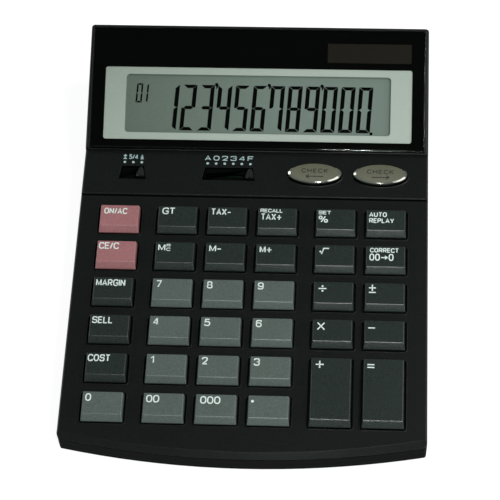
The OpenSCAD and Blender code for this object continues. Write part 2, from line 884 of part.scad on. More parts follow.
module lcd_frame() {
    front = -fold_step - gap;
    back = -fold_step - wall - gap - frame_flange_t;
    color(frame_grey)
        difference() {
            union() {
                on_display(0, frame_mid_v, back)
                    block(frame_body_w, frame_body_h, front - back);
                on_display(0, frame_mid_v, back)
                    block(frame_body_w + 2 * frame_flange, frame_body_h + 2 * frame_flange, frame_flange_t);
            }
            on_display(0, frame_mid_v, back - cut)
                linear_extrude(front - back + 2 * cut)
                    rounded_rect(lcd_view_w, lcd_view_h, lcd_view_r);
            on_display(0, frame_mid_v, back - cut)
                block(lcd_w + 2 * slip, lcd_h + 2 * slip, lcd_front - back + cut);
            frame_holes(board_screw_r + slip, back - cut, front);
        }
}

// Two sheets of glass, the rear one longer so that the ribbon can reach its contacts
module lcd_glass() {
    ledge = wall;
    color(glass_green)
        on_display(0, frame_mid_v, lcd_front - gap - lcd_t) {
            block(lcd_w, lcd_h, lcd_t / 2);
            translate([0, ledge / 2, 0])
                block(lcd_w, lcd_h - ledge, lcd_t);
        }
}

module lcd_ribbon() {
    back = lcd_front - gap - lcd_t - gap - ribbon_t / 2;
    path = [
        d_pt(frame_mid_v - lcd_h / 4, back), d_pt(frame_mid_v - lcd_h / 2 - gap, back),
        k_pt(board_end + ribbon_tail, board_top + ribbon_rise), k_pt(board_end, board_top + ribbon_t),
        k_pt(board_end - ribbon_tail, board_top + ribbon_t)
    ];
    last = len(path) - 1;
    color(case_black)
        across(ribbon_w)
            polygon(concat(
                [for (p = path) p + [0, ribbon_t / 2]],
                [for (i = [last:-1:0]) path[i] - [0, ribbon_t / 2]]
            ));
}

module solar_cell() {
    color(cell_brown)
        on_display(solar_mid_x, solar_mid_v, -fold_step - gap - solar_t)
            block(solar_w, solar_h, solar_t);
}

// Round wire along points of the Y-Z plane
module wire(path, x) {
    sides = 8;
    n = len(path);
    points = [
        for (i = [0:n - 1])
            let (
                d = path[min(i + 1, n - 1)] - path[max(i - 1, 0)],
                s = [-d[1], d[0]] / norm(d)
            )
            for (j = [0:sides - 1])
                [x + wire_r * cos(360 * j / sides),
                 path[i][0] + wire_r * sin(360 * j / sides) * s[0],
                 path[i][1] + wire_r * sin(360 * j / sides) * s[1]]
    ];
    walls = [
        for (i = [0:n - 2], j = [0:sides - 1])
            [i * sides + j, i * sides + (j + 1) % sides,
             (i + 1) * sides + (j + 1) % sides, (i + 1) * sides + j]
    ];
    first = [[for (j = [sides - 1:-1:0]) j]];
    last = [[for (j = [0:sides - 1]) (n - 1) * sides + j]];
    polyhedron(points, concat(first, walls, last));
}

module solar_wires() {
    behind = lcd_front - lcd_t - 4 * wire_r;
    start = -fold_step - gap - solar_t;
    color([0.6, 0.1, 0.1])
        for (x = wire_x) {
            wire([
                d_pt(solar_mid_v, start - gap), d_pt(solar_mid_v, start - 2 * wall),
                d_pt(solar_mid_v - wall, behind - wall), d_pt(solar_mid_v - 4 * wall, behind - 2 * wall),
                d_pt(frame_view_v, behind - 2 * wall), k_pt(board_end + wall, board_bottom - 2 * wall),
                k_pt(board_end - wall, board_bottom - 1.5 * wall),
                k_pt(board_end - 1.5 * wall, board_bottom - gap)
            ], x);
        }
}

// Inside

module circuit_board() {
    color(board_green)
        difference() {
            on_keys(0, (board_front + board_end) / 2, board_bottom)
                block(board_w, board_end - board_front, board_t);
            board_bosses(board_screw_r + slip, board_bottom - cut, board_top + cut);
        }
}

// Resin over the chip, on the underside of the board
module chip_cap() {
    color(foot_black)
        on_keys(board_screw_x[1] / 2, row_u(2), board_bottom - gap - cap_h)
            cylinder(r1 = 3 * cap_h, r2 = 5 * cap_h, h = cap_h);
}

module dome(x, u) {
    on_keys(x, u, sheet_top - eps)
        cylinder(r1 = dome_r, r2 = dome_r - wall / 2, h = dome_top - sheet_top + eps);
}

module dome_hollow(x, u) {
    on_keys(x, u, board_top - eps)
        cylinder(
            r1 = dome_r - sheet_t / 2, r2 = dome_r - wall / 2 - sheet_t, h = dome_top - sheet_t - board_top
        );
}

// Sheet of silicone rubber with a dome under each key
module rubber_keypad() {
    front = board_front + wall / 2;
    back = strip_u - wall;
    oval_back = strip_mid + dome_r + wall / 2;
    oval_left = oval_x - oval_pitch / 2 - 2 * dome_r;
    right = board_w / 2 - wall;
    color(rubber_grey)
        difference() {
            union() {
                on_keys(0, (front + back) / 2, board_top + gap)
                    block(2 * right, back - front, sheet_t - gap);
                on_keys((oval_left + right) / 2, (back + oval_back) / 2 - wall / 2, board_top + gap)
                    block(right - oval_left, oval_back - back + wall, sheet_t - gap);
                for (k = KEYS, u = hubs(k)) {
                    dome(key_x(k), key_u(k) + u);
                }
                for (i = [0, 1]) {
                    dome(oval_x + (i - 0.5) * oval_pitch, strip_mid);
                }
            }
            for (k = KEYS, u = hubs(k)) {
                dome_hollow(key_x(k), key_u(k) + u);
            }
            for (i = [0, 1]) {
                dome_hollow(oval_x + (i - 0.5) * oval_pitch, strip_mid);
            }
            board_bosses(board_boss_r + 2 * slip, board_top - cut, 0);
        }
}

module battery_cell() {
    color(metal)
        translate([cell_x, cell_y, floor_z + 2 * gap]) {
            cylinder(d = cell_d, h = cell_h - leaf_t);
            cylinder(d = cell_d - wall, h = cell_h);
        }
}

// Leaf from the board to the top of the cell
module battery_spring() {
    reach = cell_d / 2;
    tip = floor_z + cell_h + 3 * gap - k_pt(cell_u, board_bottom)[1];
    color(metal)
        on_keys(cell_x, cell_u, board_bottom)
            across(clip_w)
                polygon([
                    [-reach, -gap], [-leaf_t * 6, -gap], [reach / 2, tip + leaf_t],
                    [reach / 2 + wall, tip + 2 * leaf_t], [reach / 2 + wall, tip + leaf_t], [reach / 2, tip],
                    [-leaf_t * 7, -gap - leaf_t], [-reach, -gap - leaf_t]
                ]);
}

// Contact from the board to the side of the cell
module battery_clip() {
    x0 = cell_d / 2 + gap;
    top = k_pt(cell_u - clip_w, board_bottom)[1] - gap;
    low = floor_z + 2 * slip;
    color(metal)
        translate([cell_x, cell_y, 0])
            along(clip_w)
                polygon([
                    [x0, low], [x0 + leaf_t, low], [x0 + leaf_t, top - leaf_t],
                    [x0 + 2 * wall, top - leaf_t], [x0 + 2 * wall, top], [x0, top]
                ]);
}

module battery_cover() {
    color(case_black)
        difference() {
            union() {
                translate([cover_x, cell_y, foot_h])
                    block(cover_w, cover_d, cover_t);
                translate([cell_x, cell_y, foot_h + cover_t / 2])
                    cylinder(r = cell_d / 2 - wall / 4, h = floor_z - foot_h - cover_t / 2 + gap);
            }
            translate([cover_screw_x, cell_y, 0])
                cylinder(r = board_head_r + slip, h = foot_h + cover_t - cover_seat);
            translate([cover_screw_x, cell_y, 0])
                cylinder(r = board_screw_r + slip, h = seam_z);
        }
}

// A pan head below a round shank, with a cross cut into the head
module screw(r, head_r, head_h, len) {
    difference() {
        union() {
            translate([0, 0, -head_h])
                cylinder(r1 = head_r - head_h / 4, r2 = head_r, h = head_h);
            translate([0, 0, -eps])
                cylinder(r = r, h = len + eps);
        }
        for (turn = [0, 90]) {
            rotate([0, 0, turn])
                translate([0, 0, -head_h - cut])
                    block(1.2 * head_r, head_r / 4, cut + head_h / 2);
        }
    }
}

module battery_cover_screw() {
    color(metal)
        translate([cover_screw_x, cell_y, foot_h + cover_t - cover_seat - gap])
            screw(board_screw_r, board_head_r, cover_t - cover_seat - 2 * gap, cover_screw_len - cover_t);
}

module case_screws() {
    color(metal)
        for (side = [-1, 1], y = case_screw_y) {
            translate([side * case_screw_x, y, screw_seat_z - gap])
                screw(screw_r, screw_head_r, screw_head_h, boss_z - screw_seat_z + case_screw_len);
        }
}

module board_screws() {
    color(metal) {
        for (x = board_screw_x, u = board_screw_u) {
            on_keys(x, u, board_bottom - gap)
                screw(board_screw_r, board_head_r, board_head_h, board_screw_len - slip);
        }
        for (p = frame_screws) {
            on_display(p[0], p[1], -fold_step - wall - 2 * gap - frame_flange_t)
                screw(board_screw_r, board_head_r, board_head_h, frame_flange_t + wall / 2);
        }
    }
}

module rubber_feet() {
    bevel = foot_h / 3;
    color(foot_black)
        for (side = [-1, 1], y = foot_y) {
            translate([side * foot_x, y, 0])
                cylinder(d1 = foot_d - 2 * bevel, d2 = foot_d, h = bevel);
            translate([side * foot_x, y, bevel - eps])
                cylinder(d = foot_d, h = foot_h + foot_sunk - gap - bevel + eps);
        }
}

upper_case();
lower_case();
display_window();
window_mask();
lcd_frame();
lcd_glass();
solar_cell();
circuit_board();
chip_cap();
rubber_keypad();
lcd_ribbon();
solar_wires();
battery_cell();
battery_spring();
battery_clip();
battery_cover();
battery_cover_screw();
case_screws();
board_screws();
rubber_feet();
slide_knob(rounding_x);  // rounding_knob
slide_wiper(rounding_x);  // rounding_wiper
slide_knob(decimal_x);  // decimal_knob
slide_wiper(decimal_x);  // decimal_wiper
for (i = [0, 1]) {
    oval_key(i);
}
for (k = KEYS) {
    keycap(k);
}
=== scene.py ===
"""Looks of the desktop calculator: finishes, printed legends, display figures, light and camera.

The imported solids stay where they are. All places are taken from them, in metres.
"""

import json
import math

import bmesh
import bpy
from mathutils import Matrix, Quaternion, Vector

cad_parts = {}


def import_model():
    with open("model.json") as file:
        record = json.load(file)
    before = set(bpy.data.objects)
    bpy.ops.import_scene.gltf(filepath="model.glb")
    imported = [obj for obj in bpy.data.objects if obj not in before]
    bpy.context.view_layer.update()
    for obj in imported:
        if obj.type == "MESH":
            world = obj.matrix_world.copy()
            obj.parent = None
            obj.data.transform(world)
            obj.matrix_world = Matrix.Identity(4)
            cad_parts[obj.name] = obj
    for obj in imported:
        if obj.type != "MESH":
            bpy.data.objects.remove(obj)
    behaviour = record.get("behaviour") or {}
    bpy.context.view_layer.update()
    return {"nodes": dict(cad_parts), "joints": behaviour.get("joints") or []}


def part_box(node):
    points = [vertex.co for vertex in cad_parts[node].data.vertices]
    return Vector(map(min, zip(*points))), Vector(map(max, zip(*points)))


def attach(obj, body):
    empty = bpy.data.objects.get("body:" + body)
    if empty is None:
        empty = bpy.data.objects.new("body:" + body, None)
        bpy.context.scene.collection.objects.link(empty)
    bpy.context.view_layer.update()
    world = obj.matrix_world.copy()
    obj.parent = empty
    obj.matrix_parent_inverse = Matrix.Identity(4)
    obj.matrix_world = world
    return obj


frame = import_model()

MM = 0.001

# Heights and slopes that part.scad drives too
KEY_HEIGHT = 3.0 * MM
STRIP_LIFT = 0.4 * MM
DISPLAY_SLOPE = math.radians(21.5)
SWITCH_PITCH = 3.5 * MM

# Print: thickness of a printed layer and how far it stays off the face it lies on
PRINT_THICK = 0.03 * MM
PRINT_CLEAR = 0.004 * MM
CURVE_STEPS = 24
CORNER_STEPS = 5
MITRE_LIMIT = 1.3
SAME_PLACE = 0.001 * MM
SAME_POINT = 0.0005 * MM

# How far below a node's highest point its top face may reach
TOP_BAND = 0.05 * MM

# Letters: relative width, then strokes with a corner radius, all in shares of width and height.
# A stroke that ends where it starts is closed. A line is this share of the letter's height, or more
# on a small letter.
LINE_SHARE = 0.155
SMALL_SHARE = 0.19
SMALL_HEIGHT = 2.5 * MM
LETTER_GAP = 0.07
BOWL = [(0, 1), (1, 1), (1, 0.45), (0, 0.45)]
BOX = [(0, 0), (1, 0), (1, 1), (0, 1), (0, 0)]
CUP = [(1, 0.76), (1, 1), (0, 1), (0, 0), (1, 0), (1, 0.24)]
LETTERS = {
    "A": (1.0, [(0, [(0, 0), (0.5, 1), (1, 0)]), (0, [(0.2, 0.3), (0.8, 0.3)])]),
    "C": (0.95, [(0.45, CUP)]),
    "E": (0.8, [(0, [(1, 1), (0, 1), (0, 0), (1, 0)]), (0, [(0, 0.52), (0.9, 0.52)])]),
    "F": (0.8, [(0, [(0, 0), (0, 1), (1, 1)]), (0, [(0, 0.5), (0.85, 0.5)])]),
    "G": (1.0, [(0.45, CUP[:-1] + [(1, 0.2)]), (0, [(1, 0), (1, 0.45), (0.55, 0.45)])]),
    "H": (0.95, [(0, [(0, 0), (0, 1)]), (0, [(1, 0), (1, 1)]), (0, [(0, 0.52), (1, 0.52)])]),
    "I": (0.02, [(0, [(0.5, 0), (0.5, 1)])]),
    "K": (0.9, [(0, [(0, 0), (0, 1)]), (0, [(1, 1), (0, 0.35)]), (0, [(0.35, 0.57), (1, 0)])]),
    "L": (0.75, [(0, [(0, 1), (0, 0), (1, 0)])]),
    "M": (1.15, [(0, [(0, 0), (0, 1)]), (0, [(1, 0), (1, 1)]),
                 (0, [(0.03, 0.98), (0.5, 0.08), (0.97, 0.98)])]),
    "N": (0.95, [(0, [(0, 0), (0, 1)]), (0, [(1, 0), (1, 1)]), (0, [(0.03, 0.97), (0.97, 0.03)])]),
    "O": (1.0, [(0.48, BOX)]),
    "P": (0.85, [(0, [(0, 0), (0, 1)]), (0.27, BOWL)]),
    "R": (0.92, [(0, [(0, 0), (0, 1)]), (0.27, BOWL), (0, [(0.55, 0.45), (1, 0)])]),
    "S": (0.9, [(0.25, [(1, 0.75), (1, 1), (0, 1), (0, 0.52), (1, 0.52), (1, 0), (0, 0), (0, 0.25)])]),
    "T": (0.9, [(0, [(0, 1), (1, 1)]), (0, [(0.5, 1), (0.5, 0)])]),
    "U": (0.95, [(0.4, [(0, 1), (0, 0), (1, 0), (1, 1)])]),
    "X": (0.95, [(0, [(0, 0), (1, 1)]), (0, [(0, 1), (1, 0)])]),
    "Y": (0.95, [(0, [(0, 1), (0.5, 0.42), (1, 1)]), (0, [(0.5, 0.45), (0.5, 0)])]),
    "0": (0.74, [(0.46, BOX)]),
    "1": (0.36, [(0, [(0, 0.75), (1, 1), (1, 0)])]),
    "2": (0.72, [(0.35, [(0, 0.7), (0, 1), (1, 1), (1, 0.58), (0.06, 0)]), (0, [(0, 0), (1, 0)])]),
    "3": (0.72, [(0.25, [(0, 0.75), (0, 1), (1, 1), (1, 0.52), (0.4, 0.52)]),
                 (0.25, [(0.4, 0.52), (1, 0.52), (1, 0), (0, 0), (0, 0.25)])]),
    "4": (0.8, [(0, [(0.76, 0), (0.76, 1)]), (0, [(0.72, 1), (0, 0.25), (1, 0.25)])]),
    "5": (0.72, [(0, [(0.95, 1), (0.12, 1), (0.03, 0.5)]),
                 (0.3, [(0.03, 0.5), (0.25, 0.63), (1, 0.63), (1, 0), (0, 0), (0, 0.22)])]),
    "6": (0.72, [(0.35, [(1, 0.78), (1, 1), (0, 1), (0, 0.5), (0, 0), (1, 0), (1, 0.6), (0, 0.6)])]),
    "7": (0.72, [(0, [(0, 1), (1, 1), (0.35, 0)])]),
    "8": (0.72, [(0.25, [(0.06, 0.52), (0.94, 0.52), (0.94, 1), (0.06, 1), (0.06, 0.52)]),
                 (0.27, [(0, 0), (1, 0), (1, 0.52), (0, 0.52), (0, 0)])]),
    "9": (0.72, [(0.35, [(0, 0.22), (0, 0), (1, 0), (1, 0.5), (1, 1), (0, 1), (0, 0.4), (1, 0.4)])]),
    "/": (0.42, [(0, [(0, 0), (1, 1)])]),
    "-": (0.75, [(0, [(0, 0.4), (1, 0.4)])]),
    "+": (1.1, [(0, [(0, 0.42), (1, 0.42)]), (0, [(0.5, 0), (0.5, 0.84)])]),
    "%": (1.3, [(0, [(0.26, 0), (0.74, 1)]),
                (0.2, [(0, 0.55), (0.34, 0.55), (0.34, 1), (0, 1), (0, 0.55)]),
                (0.2, [(0.66, 0), (1, 0), (1, 0.45), (0.66, 0.45), (0.66, 0)])]),
    ">": (1.2, [(0, [(0, 0.45), (0.9, 0.45)]), (0, [(0.6, 0.72), (1, 0.45), (0.6, 0.18)])]),
    "up": (1.0, [(0, [(0.5, 0), (0.5, 0.95)]), (0, [(0.2, 0.66), (0.5, 1), (0.8, 0.66)]),
                 (0, [(0.15, 0), (0.85, 0)])]),
    "down": (1.0, [(0, [(0.5, 0.1), (0.5, 1)]), (0, [(0.25, 0.5), (0.5, 0.2), (0.75, 0.5)]),
                   (0, [(0.2, 0), (0.8, 0)])]),
}

# Keys by tone
RED_KEYS = ["key_all_clear", "key_clear"]
GREY_KEYS = ["key_" + n for n in "0 00 000 point 1 2 3 4 5 6 7 8 9".split()]
ALL_KEYS = sorted(n for n in frame["nodes"] if n.startswith("key_"))
OVAL_KEYS = ["oval_key_back", "oval_key_forward"]
KNOBS = ["rounding_knob", "decimal_knob"]
STEEL_NODES = ["battery_cell", "battery_spring", "battery_clip", "battery_cover_screw", "case_screws",
               "board_screws", "rounding_wiper", "decimal_wiper"]


# Faces and places


def slope_axes(slope):
    """The directions right, back along a face that rises by slope, and out of it."""
    right = Vector((1, 0, 0))
    back = Vector((0, math.cos(slope), math.sin(slope)))
    return Matrix((right, back, right.cross(back))).transposed()


def press_slope():
    """The slope of the key plane, from the direction in which a key is pressed."""
    axis = next(j["axis"] for j in frame["joints"] if j["name"] == "key_5_press")
    return math.atan2(axis[1], -axis[2])


KEY_AXES = slope_axes(press_slope())
DISPLAY_AXES = slope_axes(DISPLAY_SLOPE)


class Face:
    """The highest flat face of a CAD node on a sloped plane: its edges and its height."""

    def __init__(self, node, axes):
        local = [axes.transposed() @ v.co for v in frame["nodes"][node].data.vertices]
        self.height = max(p.z for p in local)
        top = [p for p in local if p.z > self.height - TOP_BAND]
        self.left = min(p.x for p in top)
        self.right = max(p.x for p in top)
        self.front = min(p.y for p in top)
        self.back = max(p.y for p in top)

    def centre(self):
        return (self.left + self.right) / 2, (self.front + self.back) / 2


def key_plane():
    """The height of the case between the keys, along the normal of the key plane."""
    return Face("key_5", KEY_AXES).height - KEY_HEIGHT


# Flat printed shapes


def prism(bm, outline):
    """A printed patch with this outline, given counter-clockwise."""
    low = [bm.verts.new((x, y, 0)) for x, y in outline]
    high = [bm.verts.new((x, y, PRINT_THICK)) for x, y in outline]
    bm.faces.new(high)
    bm.faces.new(low[::-1])
    for i in range(len(outline)):
        j = (i + 1) % len(outline)
        bm.faces.new((low[i], low[j], high[j], high[i]))


def offset_line(points, distance, closed):
    """The line at this distance to the left of points, mitred at its corners."""
    count = len(points)
    made = []
    for i, point in enumerate(points):
        before = points[i - 1] if closed or i > 0 else None
        after = points[(i + 1) % count] if closed or i < count - 1 else None
        ways = []
        if before is not None:
            ways.append((point - before).normalized())
        if after is not None:
            ways.append((after - point).normalized())
        normals = [Vector((-w.y, w.x)) for w in ways]
        middle = sum(normals, Vector((0, 0))).normalized()
        made.append(point + middle * distance * min(MITRE_LIMIT, 1 / middle.dot(normals[0])))
    return made


def stroke(bm, points, width, closed=False):
    """A printed line along points, given in metres."""
    points = [Vector(p) for p in points]
    left = offset_line(points, width / 2, closed)
    right = offset_line(points, -width / 2, closed)
    if not closed:
        prism(bm, right + left[::-1])
        return
    rings = []
    for side, height in ((right, 0), (right, PRINT_THICK), (left, PRINT_THICK), (left, 0)):
        rings.append([bm.verts.new((p.x, p.y, height)) for p in side])
    for ring, following in zip(rings, rings[1:] + rings[:1]):
        for i in range(len(points)):
            j = (i + 1) % len(points)
            bm.faces.new((ring[i], ring[j], following[j], following[i]))


def disc(bm, x, y, diameter):
    """A printed dot."""
    turns = [2 * math.pi * i / CURVE_STEPS for i in range(CURVE_STEPS)]
    prism(bm, [(x + diameter / 2 * math.cos(t), y + diameter / 2 * math.sin(t)) for t in turns])


def rounded(points, radius, closed):
    """The line through points with its corners rounded, each over at most half of a side."""
    made = []
    count = len(points)
    for i, corner in enumerate(points):
        if radius == 0 or (not closed and i in (0, count - 1)):
            made.append(corner)
            continue
        before, after = points[i - 1], points[(i + 1) % count]
        start = corner + (before - corner) * min(0.5, radius / (before - corner).length)
        end = corner + (after - corner) * min(0.5, radius / (after - corner).length)
        for step in range(CORNER_STEPS + 1):
            t = step / CORNER_STEPS
            made.append(start * (1 - t) ** 2 + corner * 2 * t * (1 - t) + end * t ** 2)
    apart = [p for i, p in enumerate(made) if i == 0 or (p - made[i - 1]).length > SAME_PLACE]
    if closed and (apart[0] - apart[-1]).length < SAME_PLACE:
        apart.pop()
    return apart


def letter(bm, sign, left, low, width, height, line):
    """One letter in strokes. width and height are those of the strokes' middle lines."""
    for radius, points in LETTERS[sign][1]:
        closed = points[0] == points[-1]
        places = [Vector((left + x * width, low + y * height)) for x, y in points]
        if closed:
            places.pop()
        stroke(bm, rounded(places, radius * height, closed), line, closed)


def lettering(bm, text, left, back, width, height, line_share=LINE_SHARE, gap=LETTER_GAP):
    """Text that fills a box whose left back corner is given."""
    line = line_share * height
    step = line + gap * height
    shares = [LETTERS[sign][0] for sign in text]
    scale = (width - line - step * (len(text) - 1)) / sum(shares)
    x = left + line / 2
    for sign, share in zip(text, shares):
        letter(bm, sign, x, back - height + line / 2, share * scale, height - line, line)
        x += share * scale + step


def printed(name, bm, axes, height, body, material):
    """The print in bm, laid on a sloped face at this height, as a piece that rides on body."""
    bmesh.ops.remove_doubles(bm, verts=bm.verts, dist=SAME_POINT)
    bmesh.ops.recalc_face_normals(bm, faces=bm.faces)
    lift = Matrix.Translation((0, 0, height + PRINT_CLEAR))
    bmesh.ops.transform(bm, matrix=axes.to_4x4() @ lift, verts=bm.verts)
    mesh = bpy.data.meshes.new(name)
    bm.to_mesh(mesh)
    bm.free()
    piece = bpy.data.objects.new(name, mesh)
    bpy.context.scene.collection.objects.link(piece)
    mesh.materials.append(material)
    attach(piece, body)


# Materials

# Sizes of the features of a moulded surface: its grain, its grit and its changes of tone
GRAIN_SIZE = 0.3 * MM
KEY_GRAIN = 0.2 * MM
GRAIN_DEPTH = 0.01 * MM
GRIT_SIZE = 0.5 * MM
TONE_SIZE = 22 * MM
ROUGH_BAND = 0.05

# Painted shade: where the case is painted dark below the key plane, and how far off the front keys and
# the sides that ends
RECESS_START = 0.02 * MM
RECESS_FULL = 0.2 * MM
RECESS_FRONT = 2.0 * MM
RECESS_SIDE = 1.0 * MM
RECESS_FADE = 0.5 * MM

# Painted shade on the keys: heights over the key plane between which a key is painted darker, at its
# foot and at its sides.
# A side counts from the first to the second value of the sideways part of its normal.
FOOT_LOW = 0.0 * MM
FOOT_HIGH = 0.7 * MM
SIDE_LOW = 0.6 * MM
SIDE_HIGH = 2.0 * MM
SIDE_SHADE = 0.9
SIDE_TURN = (0.6, 0.9)

# Display and frame: size and depth of their grain, where along X their tone is full, and the share of
# painted light that makes the frame lighter to the front
DISPLAY_GRAIN = 0.4 * MM
FRAME_GRAIN = 0.3 * MM
DISPLAY_DEPTH = 0.004 * MM
TONE_END = 0.2
FRAME_PAINTED_LIGHT = 0.45

# Oval keys: size and stretch of the brushed lines, size of the clouds in the plating, and how far up
# a face looks that counts as the top
BRUSH_SIZE = 0.15 * MM
BRUSH_DEPTH = 0.001 * MM
BRUSH_STRETCH = (0.08, 1, 1)
CLOUD_SIZE = 7 * MM
TOP_FACING = (0.97, 0.985)

# Window: size of its smears, and how much its plastic bends light
SMEAR_SIZE = 9 * MM
WINDOW_IOR = 1.49


def srgb(red, green, blue):
    """A colour from 0 to 255 as the eye sees it, in linear light."""

    def linear(c):
        c /= 255
        return c / 12.92 if c <= 0.04045 else ((c + 0.055) / 1.055) ** 2.4

    return linear(red), linear(green), linear(blue), 1


# Painted shade: the colour that the wells, the groove and the feet of the keys are darkened to
PAINTED_SHADE = srgb(9, 11, 10)


def scaled(colour, factor):
    return tuple(min(1, c * factor) for c in colour[:3]) + (1,)


def add(tree, kind, inputs=None, **settings):
    """A shader node. An input that is another node's output is linked, any other is set."""
    made = tree.nodes.new(kind)
    for name, value in settings.items():
        setattr(made, name, value)
    for name, value in (inputs or {}).items():
        if isinstance(value, bpy.types.NodeSocket):
            tree.links.new(value, made.inputs[name])
        else:
            made.inputs[name].default_value = value
    return made


def new_material(name):
    """An empty material, its tree, and the socket that takes its surface."""
    material = bpy.data.materials.new(name)
    material.use_nodes = True
    tree = material.node_tree
    tree.nodes.clear()
    output = add(tree, "ShaderNodeOutputMaterial")
    return material, tree, output.inputs["Surface"]


def object_place(tree):
    return add(tree, "ShaderNodeTexCoord").outputs["Object"]


def noise(tree, place, size, detail=3.0):
    """Noise from 0 to 1 with features of this size in metres."""
    inputs = {"Vector": place, "Scale": 1 / size, "Detail": detail, "Roughness": 0.6}
    return add(tree, "ShaderNodeTexNoise", inputs).outputs["Fac"]


def spread(tree, value, low, high, start=0.3, end=0.7):
    """A value that runs from low to high as the given one runs from start to end.

    Without start and end, the given one is noise, which seldom leaves 0.3 to 0.7.
    """
    inputs = {"Value": value, "From Min": start, "From Max": end, "To Min": low, "To Max": high}
    return add(tree, "ShaderNodeMapRange", inputs).outputs["Result"]


def blend(tree, factor, first, second):
    """A colour between two. The mix node has its colours at sockets 6 and 7 and their mix at 2."""
    inputs = {0: factor, 6: first, 7: second}
    return add(tree, "ShaderNodeMix", inputs, data_type="RGBA").outputs[2]


def math_node(tree, operation, first, second=0.0):
    """The result of an operation on one or two values."""
    return add(tree, "ShaderNodeMath", {0: first, 1: second}, operation=operation).outputs[0]


def parts_of(tree, vector):
    """The X, Y and Z of a vector."""
    return add(tree, "ShaderNodeSeparateXYZ", {"Vector": vector}).outputs


def object_normal(tree):
    return add(tree, "ShaderNodeTexCoord").outputs["Normal"]


def moulded(name, colour, roughness, grain=GRAIN_SIZE, depth=GRAIN_DEPTH, mottle=0.06, specular=0.5,
            metallic=0.0, sheen=0.0, grit=0.08, shade=None):
    """Moulded or cast stuff: a fine grain in its surface, grit, and a slight change of tone over it.

    shade gives the share, from 0 to 1, of painted shade at a place: the colour is darkened there and
    the gloss taken away.
    """
    material, tree, surface = new_material(name)
    place = object_place(tree)
    fine = noise(tree, place, grain)
    broad = spread(tree, noise(tree, place, TONE_SIZE), 0, 1)
    dim, lit = scaled(colour, 1 - mottle), scaled(colour, 1 + mottle)
    low = blend(tree, broad, scaled(dim, 1 - grit), scaled(lit, 1 - grit))
    high = blend(tree, broad, scaled(dim, 1 + grit), scaled(lit, 1 + grit))
    speckle = blend(tree, spread(tree, noise(tree, place, GRIT_SIZE, detail=1.0), 0, 1), low, high)
    # Painted shade: the colour turns dark where the shade share is high
    if shade:
        share = shade(tree, place)
        speckle = blend(tree, share, speckle, PAINTED_SHADE)
    bump = add(tree, "ShaderNodeBump", {"Height": fine, "Distance": depth, "Strength": 1.0})
    shader = add(tree, "ShaderNodeBsdfPrincipled", {
        "Base Color": speckle,
        "Metallic": metallic,
        "Roughness": spread(tree, fine, roughness - ROUGH_BAND, roughness + ROUGH_BAND),
        "Specular IOR Level": specular,
        "Sheen Weight": sheen,
        "Normal": bump.outputs["Normal"],
    })
    # The painted shade also takes away the gloss
    if shade:
        tree.links.new(spread(tree, share, specular, 0, 0, 1), shader.inputs["Specular IOR Level"])
    tree.links.new(shader.outputs["BSDF"], surface)
    return material


def key_height(tree, place):
    """The height of a place over the key plane."""
    inputs = {0: place, 1: tuple(KEY_AXES.col[2])}
    out = add(tree, "ShaderNodeVectorMath", inputs, operation="DOT_PRODUCT").outputs["Value"]
    return math_node(tree, "SUBTRACT", out, key_plane())


def key_painted_shade(tree, place):
    """Painted shade: how much of the light its well and neighbours keep from a key, more low down and
    at its sides.
    """
    height = key_height(tree, place)
    foot = spread(tree, height, 1, 0, FOOT_LOW, FOOT_HIGH)
    low = spread(tree, height, 1, 0, SIDE_LOW, SIDE_HIGH)
    aside = math_node(tree, "ABSOLUTE", parts_of(tree, object_normal(tree))["X"])
    side = math_node(tree, "MULTIPLY", low, spread(tree, aside, 0, SIDE_SHADE, *SIDE_TURN))
    return math_node(tree, "MAXIMUM", foot, side)


def recess_painted_shade(tree, place):
    """Painted shade: 1 for what lies below the key plane in the wells, the groove and the switch
    recesses, else 0.
    """
    parts = parts_of(tree, place)
    depth = spread(tree, key_height(tree, place), 0, 1, -RECESS_START, -RECESS_FULL)
    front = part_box("key_0")[0].y - RECESS_FRONT
    behind = spread(tree, parts["Y"], 0, 1, front, front + RECESS_FADE)
    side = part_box("upper_case")[1].x - RECESS_SIDE
    across = math_node(tree, "ABSOLUTE", parts["X"])
    within = spread(tree, across, 1, 0, side, side + RECESS_FADE)
    return math_node(tree, "MULTIPLY", depth, math_node(tree, "MULTIPLY", behind, within))


def clear_window():
    """Clear moulded plastic: seen through, with a gloss on its outer faces and faint smears."""
    material, tree, surface = new_material("clear_window")
    smear = noise(tree, object_place(tree), SMEAR_SIZE)
    gloss = add(tree, "ShaderNodeBsdfGlossy", {
        "Color": (1, 1, 1, 1),
        "Roughness": spread(tree, smear, 0.03, 0.08),
    })
    fresnel = add(tree, "ShaderNodeFresnel", {"IOR": WINDOW_IOR}).outputs["Fac"]
    inner = add(tree, "ShaderNodeNewGeometry").outputs["Backfacing"]
    outer = math_node(tree, "SUBTRACT", 1.0, inner)
    share = math_node(tree, "MULTIPLY", fresnel, outer)
    clear = add(tree, "ShaderNodeBsdfTransparent", {"Color": (1, 1, 1, 1)})
    mixed = add(tree, "ShaderNodeMixShader", {0: share, 1: clear.outputs[0], 2: gloss.outputs[0]})
    tree.links.new(mixed.outputs[0], surface)
    return material


def display_glass():
    """The display: grey green, a little darker to the left, with the grain of its reflector."""
    material, tree, surface = new_material("display_glass")
    place = object_place(tree)
    low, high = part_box("lcd_glass")
    along = spread(tree, parts_of(tree, place)["X"], 0, 1, low.x, TONE_END * high.x)
    tone = blend(tree, along, srgb(85, 98, 87), srgb(111, 127, 118))
    grain = noise(tree, place, DISPLAY_GRAIN)
    speckle = blend(tree, spread(tree, grain, 0, 0.3), tone, srgb(140, 154, 144))
    bump = add(tree, "ShaderNodeBump", {"Height": grain, "Distance": DISPLAY_DEPTH, "Strength": 1.0})
    shader = add(tree, "ShaderNodeBsdfPrincipled", {
        "Base Color": speckle,
        "Roughness": spread(tree, grain, 0.4, 0.5),
        "Specular IOR Level": 0.2,
        "Normal": bump.outputs["Normal"],
    })
    tree.links.new(shader.outputs["BSDF"], surface)
    return material


